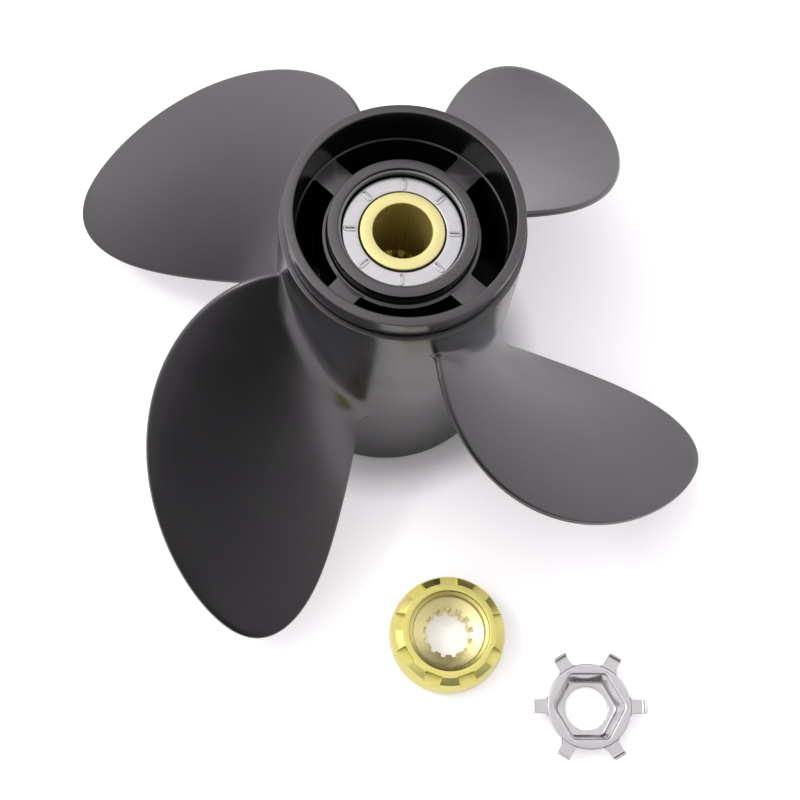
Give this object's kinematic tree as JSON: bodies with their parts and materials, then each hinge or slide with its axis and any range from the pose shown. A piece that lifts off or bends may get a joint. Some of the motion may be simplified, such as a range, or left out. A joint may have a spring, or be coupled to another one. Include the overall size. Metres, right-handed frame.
{
  "type": "boat propeller",
  "caption": "Bladed boat propeller with exhaust through its hub and a splined, rubber-cushioned drive sleeve, with the spline spacer and tab washer that hold it on its shaft.",
  "frame": {"origin": "on the hub axis, at the aft end face of the hub, on which the propeller stands", "axes": "+Z along the hub axis, forward, towards the engine's gearcase; +X and +Y square to it, with the spacer and washer lying on the +X, -Y side"},
  "size_m": [0.2558, 0.2736, 0.126],
  "materials": {
    "black_paint": "satin black paint on an aluminium casting",
    "brass": "turned, bright",
    "aluminium": "turned, satin",
    "stainless": "pressed sheet, bright",
    "rubber": "matte, moulded"
  },
  "bodies": {
    "casting": {"outer_barrel": "black_paint", "inner_barrel": "black_paint", "rib_1": "black_paint", "rib_2": "black_paint", "rib_3": "black_paint", "rib_4": "black_paint", "blade_1": "black_paint", "blade_2": "black_paint", "blade_3": "black_paint", "blade_4": "black_paint", "bush_ring": "aluminium", "rubber_bush": "rubber"},
    "sleeve": {"splined_sleeve": "brass"},
    "spacer": {"spline_spacer": "brass"},
    "washer": {"tab_washer": "stainless"},
    "tab_1": {"tab_1": "stainless"},
    "tab_2": {"tab_2": "stainless"},
    "tab_3": {"tab_3": "stainless"},
    "tab_4": {"tab_4": "stainless"},
    "tab_5": {"tab_5": "stainless"},
    "tab_6": {"tab_6": "stainless"}
  },
  "joints": [
    {"name": "hub_twist", "type": "hinge", "parent": "casting", "child": "sleeve", "pos_m": [0, 0, 0.07], "axis": [0, 0, 1], "range_deg": [-10, 10], "stiffness_Nm_per_rad": 20, "deforming": ["rubber_bush"]},
    {"name": "spacer_lift", "type": "slide", "parent": "casting", "child": "spacer", "axis": [0, 0, 1], "range_m": [0, 0.1]},
    {"name": "tab_washer_lift", "type": "slide", "parent": "casting", "child": "washer", "axis": [0, 0, 1], "range_m": [0, 0.1]},
    {"name": "tab_1_bend", "type": "hinge", "parent": "washer", "child": "tab_1", "pos_m": [0.11888, -0.12145, 0.0062], "axis": [-0.1994, 0.9799, 0], "range_deg": [0, 90]},
    {"name": "tab_2_bend", "type": "hinge", "parent": "washer", "child": "tab_2", "pos_m": [0.10841, -0.10962, 0.0062], "axis": [-0.9483, 0.3173, 0], "range_deg": [0, 90]},
    {"name": "tab_3_bend", "type": "hinge", "parent": "washer", "child": "tab_3", "pos_m": [0.09293, -0.11277, 0.0062], "axis": [-0.749, -0.6626, 0], "range_deg": [0, 90]},
    {"name": "tab_4_bend", "type": "hinge", "parent": "washer", "child": "tab_4", "pos_m": [0.08792, -0.12775, 0.0062], "axis": [0.1994, -0.9799, 0], "range_deg": [0, 90]},
    {"name": "tab_5_bend", "type": "hinge", "parent": "washer", "child": "tab_5", "pos_m": [0.09839, -0.13958, 0.0062], "axis": [0.9483, -0.3173, 0], "range_deg": [0, 90]},
    {"name": "tab_6_bend", "type": "hinge", "parent": "washer", "child": "tab_6", "pos_m": [0.11387, -0.13643, 0.0062], "axis": [0.749, 0.6626, 0], "range_deg": [0, 90]}
  ]
}
